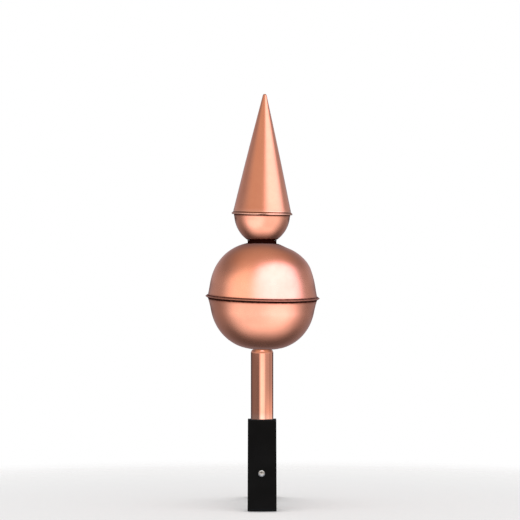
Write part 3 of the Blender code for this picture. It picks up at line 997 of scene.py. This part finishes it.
OVERHEAD_BLEND = (0.50, 0.80)
WARM_BLEND = (0.05, 0.40)
PANEL_DISTANCE = 1.0
PANEL_FADE = 0.4

scene = bpy.context.scene
scene.view_settings.view_transform = "Standard"
world = bpy.data.worlds.new("studio")
scene.world = world
world.use_nodes = True
sky = world.node_tree
sky.nodes.clear()


def levels(tree, value, stops):
    """Brightness read from stops of (place, level), with the place from 0 to 1."""
    node = tree.nodes.new("ShaderNodeValToRGB")
    node.color_ramp.interpolation = "EASE"
    elements = node.color_ramp.elements
    while len(elements) < len(stops):
        elements.new(0.5)
    for element, (place, level) in zip(elements, stops):
        element.position = place
        share = level / WORLD_SCALE
        element.color = (share, share, share, 1)
    tree.links.new(value, node.inputs["Fac"])
    return calc(tree, "MULTIPLY", node.outputs["Color"], WORLD_SCALE)


def mixed(tree, share, first, second):
    """A brightness between two, by share."""
    node = tree.nodes.new("ShaderNodeMix")
    for socket, value in zip(node.inputs[:1] + node.inputs[2:4], (share, first, second)):
        if isinstance(value, bpy.types.NodeSocket):
            tree.links.new(value, socket)
        else:
            socket.default_value = value
    return node.outputs[0]


toward = sky.nodes.new("ShaderNodeTexCoord").outputs["Generated"]
sky_axes = sky.nodes.new("ShaderNodeSeparateXYZ")
sky.links.new(toward, sky_axes.inputs["Vector"])
rightward, rearward, upward = (sky_axes.outputs[name] for name in "XYZ")
height_share = calc(sky, "MULTIPLY_ADD", upward, 0.5)
height_share.node.inputs[2].default_value = 0.5
frontness = calc(sky, "SUBTRACT", calc(sky, "MULTIPLY", rightward, FRONT_SKEW), rearward)
in_front = ramp(sky, frontness, *FRONT_BLEND)
back_level = levels(sky, height_share, BACK_LEVELS)
front_level = levels(sky, height_share, FRONT_LEVELS)
around = mixed(sky, in_front, back_level, front_level)
side_share = calc(sky, "MULTIPLY_ADD", rightward, 0.5)
side_share.node.inputs[2].default_value = 0.5
off_horizon = calc(sky, "ABSOLUTE", calc(sky, "ADD", upward, HORIZON_DROP))
at_horizon = ramp(sky, off_horizon, *HORIZON_BAND, 1.0, 0.0)
behind = ramp(sky, rearward, *BEHIND_BLEND)
horizon = mixed(sky, behind, levels(sky, side_share, HORIZON_LEVELS), BEHIND_LEVEL)
for_metal = mixed(sky, at_horizon, around, horizon)
ray = sky.nodes.new("ShaderNodeLightPath").outputs
plain_ray = calc(sky, "MAXIMUM", ray["Is Camera Ray"], ray["Is Diffuse Ray"])
brightness = mixed(sky, plain_ray, for_metal, 1.0)
background = sky.nodes.new("ShaderNodeBackground")
overhead = calc(sky, "MAXIMUM", in_front, ramp(sky, upward, *OVERHEAD_BLEND))
warm = calc(sky, "MULTIPLY", ramp(sky, upward, *WARM_BLEND), overhead)
tint = blend_colours(sky, plain_ray, blend_colours(sky, warm, COOL_GLOW, WARM_GLOW), (1, 1, 1, 1))
sky.links.new(tint, background.inputs["Color"])
sky.links.new(brightness, background.inputs["Strength"])
world_output = sky.nodes.new("ShaderNodeOutputWorld")
sky.links.new(background.outputs["Background"], world_output.inputs["Surface"])


def panel(name, azimuths, heights, radiance, colour, lit, tilt=0):
    """An upright softbox that faces the finial, fades at its edges and lights these pieces alone.

    azimuths are its two sides as seen from the axis, in degrees from the front, right positive, and
    heights its lower and upper edge. tilt turns it about its own middle, in degrees.
    """
    middle = math.radians(sum(azimuths) / 2)
    width = 2 * PANEL_DISTANCE * math.tan(math.radians(azimuths[1] - azimuths[0]) / 2)
    height = heights[1] - heights[0]
    light = bpy.data.lights.new(name, "AREA")
    light.shape = "RECTANGLE"
    light.size = width
    light.size_y = height
    light.energy = radiance * math.pi * width * height
    light.color = colour
    light.use_nodes = True
    tree = light.node_tree
    place = tree.nodes.new("ShaderNodeSeparateXYZ")
    tree.links.new(tree.nodes.new("ShaderNodeNewGeometry").outputs["Parametric"], place.inputs["Vector"])
    strength = 1.0
    for axis in "XY":
        from_middle = calc(tree, "ABSOLUTE", calc(tree, "SUBTRACT", place.outputs[axis], 0.5))
        faded = ramp(tree, from_middle, 0.5 - PANEL_FADE, 0.5, 1.0, 0.0)
        strength = calc(tree, "MULTIPLY", faded, strength)
    tree.links.new(strength, tree.nodes["Emission"].inputs["Strength"])
    lamp = bpy.data.objects.new(name, light)
    toward_axis = Vector((-math.sin(middle), math.cos(middle), 0))
    lamp.location = Vector((0, 0, sum(heights) / 2)) - PANEL_DISTANCE * toward_axis
    facing = toward_axis.to_track_quat("-Z", "Y").to_matrix()
    lamp.rotation_euler = (facing @ Matrix.Rotation(math.radians(tilt), 3, "Z")).to_euler()
    lamp.visible_camera = False
    scene.collection.objects.link(lamp)
    receivers = bpy.data.collections.new(name + "_lit")
    for piece in lit:
        receivers.objects.link(piece)
    lamp.light_linking.receiver_collection = receivers


ball = (ball_upper, ball_lower)
panel("spire_softbox", (1, 110), (0.1, 1.5), 1.35, (1, 1, 1.35), (cone, bowl))
panel("bowl_fill", (-85, 20), (-1.1, 0.25), 0.62, (1, 1, 1.35), (bowl,))
panel("ball_softbox", (-28, 101), (-0.6, 2.8), 1.95, (1, 1.03, 1.68), ball)
panel("ball_fill", (-95, 0), (-0.35, 1.35), 0.75, (1, 0.97, 1.0), ball, 25)
panel("ball_low_fill", (-5, 85), (-1.2, 0.1), 0.35, (1, 1, 1.3), ball)
panel("screw_key", (115, 245), (0.5, 24.0), 4.0, (0.92, 1, 1.1), screws)
panel("tube_low_light", (30, 140), (-0.5, 0.04), 1.2, (1, 0.85, 0.8), (tube,))
panel("tube_top_light", (-40, 45), (0.5, 6.0), 2.2, (1, 1, 1.4), (tube,))

for piece in (cone, bowl, collar, ball_upper, ball_lower, tube, strap):
    piece.visible_glossy = False


# Camera
# A long lens from five metres in front, level with the lower part of the cone and aimed at the
# ball's upper half.

LENS = 269.6
SENSOR_WIDTH = 36
CAMERA_PLACE = (-0.0027, -5.0, 0.30)
CAMERA_AIM = (-0.00265, 0.0, 0.2095)
CLIP_START = 0.1
CLIP_END = 50

camera_data = bpy.data.cameras.new("camera")
camera_data.lens = LENS
camera_data.sensor_width = SENSOR_WIDTH
camera_data.clip_start = CLIP_START
camera_data.clip_end = CLIP_END
camera = bpy.data.objects.new("camera", camera_data)
camera.location = CAMERA_PLACE
sight = Vector(CAMERA_AIM) - camera.location
camera.rotation_euler = sight.to_track_quat("-Z", "Y").to_euler()
scene.collection.objects.link(camera)
scene.camera = camera
